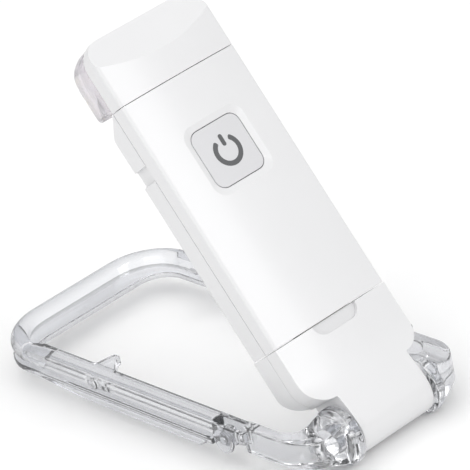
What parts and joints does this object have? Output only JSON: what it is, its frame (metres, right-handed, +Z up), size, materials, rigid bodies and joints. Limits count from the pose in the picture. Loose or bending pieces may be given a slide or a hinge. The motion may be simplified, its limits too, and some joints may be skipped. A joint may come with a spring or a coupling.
{
  "type": "clip-on reading light",
  "caption": "Slim rechargeable reading light that pulls off a hinged base, on a clear sprung clip that grips a page or stands the lamp up.",
  "frame": {"origin": "centre of the footprint, on the surface that the clip stands on", "axes": "+X along the hinge axis, +Y from the hinge to the clip's tip, +Z up; the lamp's button faces -Y and up"},
  "size_m": [0.0494, 0.1018, 0.0813],
  "materials": {
    "clear_clip": "clear polycarbonate, polished",
    "clear_jaw": "clear polycarbonate, polished",
    "clear_window": "clear acrylic, polished",
    "white_gloss": "smooth satin-gloss white ABS",
    "white_button": "smooth satin-gloss white ABS",
    "white_inner": "matte white moulding",
    "symbol_grey": "dark grey inlay",
    "pin_steel": "turned steel",
    "spring_steel": "drawn spring wire",
    "washer_nylon": "nylon",
    "led_board_white": "white solder mask",
    "led_phosphor": "phosphor gel in a white case",
    "board_green": "green solder mask",
    "chip_black": "moulded black plastic",
    "component_tan": "ceramic",
    "switch_steel": "pressed steel cover",
    "battery_foil": "laminated foil pouch",
    "foam_grey": "closed-cell foam",
    "wire_red": "insulated wire",
    "plug_metal": "nickel-plated steel",
    "contact_gold": "gold flash"
  },
  "bodies": {
    "clip": {"clip_frame": "clear_clip", "hinge_pins": "pin_steel", "hinge_washers": "washer_nylon", "jaw_pins": "pin_steel"},
    "jaw": {"clip_jaw": "clear_jaw", "jaw_springs": "spring_steel"},
    "base": {"base_front_shell": "white_gloss", "base_back_shell": "white_gloss", "plug_socket": "white_inner"},
    "light": {"front_shell": "white_gloss", "back_shell": "white_gloss", "head_cover": "white_gloss", "light_window": "clear_window", "led_board": "led_board_white", "leds": "led_phosphor", "led_reflector": "white_inner", "led_wires": "wire_red", "main_board": "board_green", "controller_chip": "chip_black", "board_parts": "component_tan", "switch_body": "switch_steel", "battery": "battery_foil", "battery_pad": "foam_grey", "battery_wires": "wire_red", "plug_shell": "plug_metal", "plug_tongue": "chip_black", "plug_contacts": "contact_gold"},
    "button": {"button_cap": "white_button", "power_symbol": "symbol_grey", "switch_stem": "chip_black"}
  },
  "joints": [
    {"name": "fold_hinge", "type": "hinge", "parent": "clip", "child": "base", "pos_m": [0, -0.0447, 0.0062], "axis": [1, 0, 0], "range_deg": [-46, 124]},
    {"name": "jaw_hinge", "type": "hinge", "parent": "clip", "child": "jaw", "pos_m": [0, -0.0237, 0.0056], "axis": [-1, 0, 0], "range_deg": [0, 15], "stiffness_Nm_per_rad": 0.08, "springref_deg": -68.75, "deforming": ["jaw_springs"]},
    {"name": "light_pull", "type": "slide", "parent": "base", "child": "light", "axis": [0, 0.5592, 0.829], "range_m": [0, 0.025]},
    {"name": "button_press", "type": "slide", "parent": "light", "child": "button", "axis": [0, 0.829, -0.5592], "range_m": [0, 0.0004], "stiffness_N_per_m": 120, "springref_m": -0.002}
  ]
}
